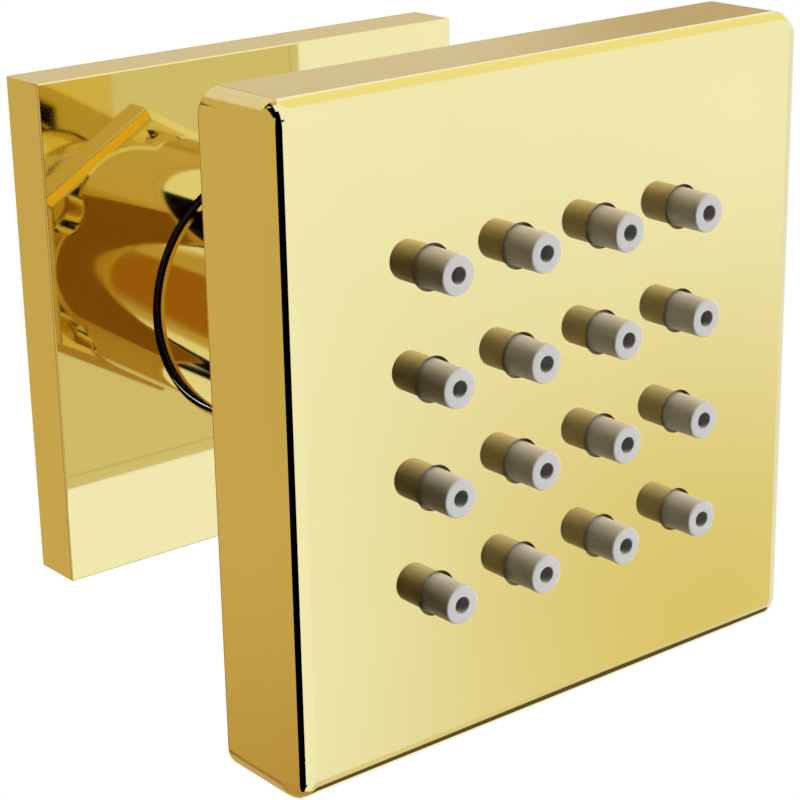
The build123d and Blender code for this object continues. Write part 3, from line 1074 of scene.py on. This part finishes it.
past_lip = hex_front + BEYOND
bore = lathe(
    "bore",
    [
        (0, BARREL_REAR - BEYOND),
        (THREAD_BORE, BARREL_REAR - BEYOND),
        (THREAD_BORE, THREAD_END),
        (SEAT_BORE, THREAD_END + THREAD_BORE - SEAT_BORE),
        (SEAT_BORE, LIP_REAR),
        (on_sphere(LIP_SPHERE, LIP_REAR), LIP_REAR),
        (on_sphere(LIP_SPHERE, past_lip), past_lip, BALL_CENTRE),
        (0, past_lip),
    ],
)
combine(nut, bore, "DIFFERENCE")
complete(nut, "ball_nut")

# %% [markdown]
# ## Swivel ball
# The ball, its neck and the spigot that enters the head are one turned brass piece with the waterway through
# it. A sphere could be cut and joined, but on a real lathe one section makes it all, and so it does here.

# %% Ball, neck and spigot
BALL_RADIUS = 12.2 * MM
WATERWAY = 5.0 * MM
BALL_FLAT = 6.0 * MM
NECK_RADIUS = 8.0 * MM
SPIGOT_RADIUS = 7.0 * MM
SPIGOT_GROOVE = 5.8 * MM
GROOVE_HALF = 0.65 * MM
BOSS_REAR = 43.5 * MM
BALL_EDGE = 0.25 * MM
SPIGOT_ROUND = 0.4 * MM
head_low, head_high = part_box("head_shell")
head_back = -head_high.y
head_front = -head_low.y
spigot_front = -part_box("swivel_ball")[0].y
ball_rear = BALL_CENTRE - sqrt(BALL_RADIUS**2 - BALL_FLAT**2)
neck_root = BALL_CENTRE + sqrt(BALL_RADIUS**2 - NECK_RADIUS**2)
ball = lathe(
    "ball_and_neck",
    [
        (WATERWAY, ball_rear),
        (BALL_FLAT, ball_rear),
        (NECK_RADIUS, neck_root, BALL_CENTRE),
        (NECK_RADIUS, BOSS_REAR),
        (SPIGOT_RADIUS, BOSS_REAR),
        (SPIGOT_RADIUS, head_back - GROOVE_HALF),
        (SPIGOT_GROOVE, head_back - GROOVE_HALF),
        (SPIGOT_GROOVE, head_back + GROOVE_HALF),
        (SPIGOT_RADIUS, head_back + GROOVE_HALF),
        (SPIGOT_RADIUS, spigot_front),
        (WATERWAY, spigot_front),
        (WATERWAY, ball_rear),
    ],
    rounds=[(1, BALL_EDGE, EDGE_STEPS), (9, SPIGOT_ROUND, EDGE_STEPS)],
)
complete(ball, "swivel_ball")

# %% [markdown]
# ## Back plate of the head
# A square plate closes the head's back and carries the round boss that takes the spigot. It sits flush in the
# shell with a hairline joint. The plate is a rounded block, and the boss is turned and joined to it.

# %% Back plate and boss
PLATE_CORNER = 0.8 * MM
BOSS_RADIUS = 11.55 * MM
BOSS_ROUND = 0.4 * MM
SPIGOT_BORE = 7.05 * MM
plate_low, plate_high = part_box("head_back_plate")
plate_front = -plate_low.y
plate = block("head_back", plate_high.x - plate_low.x, head_back, plate_front)
round_edges(along_axis, PLATE_CORNER, 8)
boss = lathe(
    "boss",
    [
        (0, BOSS_REAR),
        (BOSS_RADIUS, BOSS_REAR),
        (BOSS_RADIUS, plate_front - BEYOND),
        (0, plate_front - BEYOND),
    ],
    rounds=[(1, BOSS_ROUND, 6)],
)
combine(plate, boss, "UNION")
spigot_hole = lathe(
    "spigot_hole",
    [
        (0, BOSS_REAR - BEYOND),
        (SPIGOT_BORE, BOSS_REAR - BEYOND),
        (SPIGOT_BORE, plate_front + BEYOND),
        (0, plate_front + BEYOND),
    ],
)
combine(plate, spigot_hole, "DIFFERENCE")
complete(plate, "head_back_plate")

# %% [markdown]
# ## Shell of the spray head
# The head's front is one square brass shell: its corners and front edges are generously rounded, so the room
# slides round them in bright and dark bands. A cube gets its corners rounded first and its front loop next.
# The back is inset and pushed in twice, for the back plate's seat and for the cavity.

# %% Head shell
HEAD_CORNER = 2.6 * MM
HEAD_FRONT_ROUND = 2.55 * MM
HEAD_BACK_ROUND = 0.5 * MM
HEAD_ROUND_STEPS = 20
HEAD_BACK_STEPS = 4
RIM_WALL = 1.8 * MM
LEDGE = 49.0 * MM
CAVITY_SIDE = 63.6 * MM
MAT_FRONT = 55.8 * MM
head_side = head_high.x - head_low.x
shell = block("spray_head", head_side, head_back, head_front)
round_edges(along_axis, HEAD_CORNER, HEAD_ROUND_STEPS)
round_edges(at_forward(head_front), HEAD_FRONT_ROUND, HEAD_ROUND_STEPS)
round_edges(at_forward(head_back), HEAD_BACK_ROUND, HEAD_BACK_STEPS)
choose("FACE", at_forward(head_back))
bpy.ops.mesh.inset(thickness=RIM_WALL - HEAD_BACK_ROUND)
bpy.ops.mesh.extrude_region_move(TRANSFORM_OT_translate={"value": (0, head_back - LEDGE, 0)})
bpy.ops.mesh.extrude_region_move()
shrink = CAVITY_SIDE / (head_side - 2 * RIM_WALL)
bpy.ops.transform.resize(value=(shrink, 1, shrink), center_override=(0, -LEDGE, 0))
bpy.ops.mesh.extrude_region_move(TRANSFORM_OT_translate={"value": (0, LEDGE - MAT_FRONT, 0)})
print("head side:", round(head_side / MM, 2), "mm")

# %% [markdown]
# ### Rods in a pattern
# The nozzles stand in a grid of four by four, and five screws hold the inner plate. An Array modifier could
# repeat a rod along a row. Copies made in edit mode can go to any list of places, and stay one mesh.

# %% Rods in a pattern
ROD_STEPS = 48
NOZZLES_ACROSS = 4
SCREW_SPREAD = 24.275 * MM
middle_index = (NOZZLES_ACROSS - 1) / 2
grid = [(index - middle_index) * NOZZLE_PITCH for index in range(NOZZLES_ACROSS)]
nozzle_places = [(x, z) for z in grid for x in grid]
either_side = (-SCREW_SPREAD, SCREW_SPREAD)
screw_places = [(0, 0)] + [(x, z) for x in either_side for z in either_side]


def at_places(piece, places):
    """Copies a turned piece from the axis to its places, as one mesh."""
    activate(piece)
    bpy.ops.object.mode_set(mode="EDIT")
    bpy.ops.mesh.select_all(action="SELECT")
    at_x, at_z = 0, 0
    for index, (x, z) in enumerate(places):
        if index:
            bpy.ops.mesh.duplicate()
        bpy.ops.transform.translate(value=(x - at_x, 0, z - at_z))
        at_x, at_z = x, z
    fresh()
    return piece


def rods(name, places, radius, rear, front, steps=ROD_STEPS):
    """Plain rods along the axis."""
    rod = lathe(name, [(0, rear), (radius, rear), (radius, front), (0, front)], steps=steps)
    return at_places(rod, places)


print("nozzles:", len(nozzle_places), "screws:", len(screw_places))

# %% [markdown]
# ### Holes and screw posts
# Sixteen holes let the nozzles through, each a little wider than its nozzle. Inside, five posts take the
# screws that press the nozzle mat to the face. All holes of one kind are cut by one tool of many rods.

# %% Nozzle holes and posts
NOZZLE_HOLE = 2.38 * MM
HOLE_STEPS = 64
POST_RADIUS = 2.4 * MM
SCREW_HOLE = 1.25 * MM
SCREW_DEPTH = 2.25 * MM
MAT_REAR = 54.3 * MM
hole_rear, hole_front = MAT_FRONT - BEYOND, head_front + BEYOND
nozzle_holes = rods("nozzle_holes", nozzle_places, NOZZLE_HOLE, hole_rear, hole_front, HOLE_STEPS)
combine(shell, nozzle_holes, "DIFFERENCE")
posts = rods("posts", screw_places, POST_RADIUS, MAT_REAR, MAT_FRONT + BEYOND / 2)
combine(shell, posts, "UNION")
screw_holes = rods("screw_holes", screw_places, SCREW_HOLE, MAT_REAR - BEYOND, MAT_REAR + SCREW_DEPTH)
combine(shell, screw_holes, "DIFFERENCE")
complete(shell, "head_shell")

# %% [markdown]
# ## Nozzle mat
# All nozzles are moulded on one silicone sheet behind the face: a rub with a thumb clears lime from them.
# Each is a short tube with a softly rounded tip. Sixteen tubes could stand loose in their holes, but one
# nozzle turned, copied to the grid and joined to the sheet makes the real moulding. Bores follow likewise.

# %% Nozzle mat
NOZZLE_RADIUS = 2.03 * MM
NOZZLE_BORE = 0.85 * MM
NOZZLE_THROAT = 1.3 * MM
NOZZLE_ROUND = 0.22 * MM
NOZZLE_STEPS = 72
BORE_EDGE = 0.06 * MM
POST_HOLE = 2.6 * MM
mat_low, mat_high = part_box("nozzle_mat")
nozzle_tip = -mat_low.y
mat = block("nozzle_sheet", mat_high.x - mat_low.x, MAT_REAR, MAT_FRONT)
round_edges(along_axis, PLATE_CORNER, 6)
tube = lathe(
    "nozzles",
    [
        (0, MAT_FRONT - BEYOND),
        (NOZZLE_RADIUS, MAT_FRONT - BEYOND),
        (NOZZLE_RADIUS, nozzle_tip),
        (0, nozzle_tip),
    ],
    rounds=[(2, NOZZLE_ROUND, 5)],
    steps=NOZZLE_STEPS,
)
combine(mat, at_places(tube, nozzle_places), "UNION")
bore_tool = lathe(
    "nozzle_bores",
    [
        (0, MAT_REAR - BEYOND),
        (NOZZLE_THROAT, MAT_REAR - BEYOND),
        (NOZZLE_THROAT, MAT_FRONT),
        (NOZZLE_BORE, head_front),
        (NOZZLE_BORE, nozzle_tip - BORE_EDGE),
        (NOZZLE_BORE + BORE_EDGE, nozzle_tip),
        (NOZZLE_BORE + BORE_EDGE, nozzle_tip + BEYOND),
        (0, nozzle_tip + BEYOND),
    ],
    steps=ROD_STEPS,
)
combine(mat, at_places(bore_tool, nozzle_places), "DIFFERENCE")
post_holes = rods("post_holes", screw_places, POST_HOLE, MAT_REAR - BEYOND, MAT_FRONT + BEYOND / 2)
combine(mat, post_holes, "DIFFERENCE")
complete(mat, "nozzle_mat")

# %% [markdown]
# ## Inlet connector
# The brass tail screws into the pipe in the wall, and its front into the barrel. It starts as a blank from
# the lathe. A plain blank needs few corners, but this one gets many close rows for the pipe's thread.

# %% Turned blank
TAIL_RADIUS = 10.4775 * MM
TAIL_REAR = -15.0 * MM
TAIL_CHAMFER = 1.0 * MM
TAIL_END = 0.0
RELIEF_RADIUS = 9.8775 * MM
SHOULDER = 2.0 * MM
CORE_RADIUS = 13.95 * MM
CORE_CHAMFER = 0.4 * MM
INLET_MOUTH = 8.0 * MM
INLET_BORE = 7.0 * MM
MOUTH_STEP = -8.0 * MM
THREAD_ROWS = 150
connector_front = -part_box("inlet_connector")[0].y
thread_rear = TAIL_REAR + TAIL_CHAMFER
thread_length = TAIL_END - thread_rear
tail = lathe(
    "inlet_tail",
    [
        (INLET_MOUTH, TAIL_REAR),
        (TAIL_RADIUS - TAIL_CHAMFER, TAIL_REAR),
        *[(TAIL_RADIUS, thread_rear + thread_length * row / THREAD_ROWS) for row in range(THREAD_ROWS + 1)],
        (RELIEF_RADIUS, TAIL_END),
        (RELIEF_RADIUS, SHOULDER),
        (CORE_RADIUS - CORE_CHAMFER, SHOULDER),
        (CORE_RADIUS, SHOULDER + CORE_CHAMFER),
        (CORE_RADIUS, connector_front - TAIL_CHAMFER),
        (CORE_RADIUS - TAIL_CHAMFER, connector_front),
        (INLET_BORE, connector_front),
        (INLET_BORE, MOUTH_STEP),
        (INLET_MOUTH, MOUTH_STEP),
        (INLET_MOUTH, TAIL_REAR),
    ],
    steps=SMALL_STEPS,
)
fresh()
print("blank rows:", THREAD_ROWS)

# %% [markdown]
# ### Pipe thread
# The thread is a real helix: each point of the blank's rows is pressed towards the axis by the depth of the
# tooth there. A Screw modifier could sweep the tooth, but its open ends would have to be closed by hand.

# %% Pipe thread
THREAD_PITCH = 25.4 * MM / 14
THREAD_DEPTH = 1.16 * MM
CREST_SHARE = 0.18


def tooth_depth(turn):
    """Depth of the tooth, from 0 at the crest to 1 at the root, with a soft crest and root."""
    ramp = abs(2 * (turn % 1.0) - 1)
    return min(1.0, max(0.0, (ramp - CREST_SHARE) / (1 - 2 * CREST_SHARE)))


for vertex in tail.data.vertices:
    radius = hypot(vertex.co.x, vertex.co.z)
    if radius > TAIL_RADIUS - NEAR and vertex.co.y > -TAIL_END - NEAR:
        turn = vertex.co.y / THREAD_PITCH + atan2(vertex.co.z, vertex.co.x) / tau
        pressed = (TAIL_RADIUS - THREAD_DEPTH * tooth_depth(turn)) / radius
        vertex.co.x *= pressed
        vertex.co.z *= pressed
complete(tail, "inlet_connector")

# %% [markdown]
# ## Inlet washer
# A flat rubber ring at the tail's shoulder seals it against the pipe. A cylinder could be hollowed, but a
# rectangle with two rounded corners on the lathe is the whole piece.

# %% Inlet washer
washer_low, washer_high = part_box("inlet_washer")
WASHER_INNER = 9.9275 * MM
WASHER_ROUND = 0.2 * MM
washer_rear, washer_front = -washer_high.y, -washer_low.y
washer = lathe(
    "inlet_seal",
    [
        (WASHER_INNER, washer_rear),
        (washer_high.x, washer_rear),
        (washer_high.x, washer_front),
        (WASHER_INNER, washer_front),
        (WASHER_INNER, washer_rear),
    ],
    rounds=[(1, WASHER_ROUND, EDGE_STEPS), (2, WASHER_ROUND, EDGE_STEPS)],
    steps=SMALL_STEPS,
)
complete(washer, "inlet_washer")

# %% [markdown]
# ## Finish
# Blender changes no size of the jet: the dressed model has to stay inside the CAD model's box.
# The last step leaves edit mode and clears the selection.

# %% Finish
fresh()
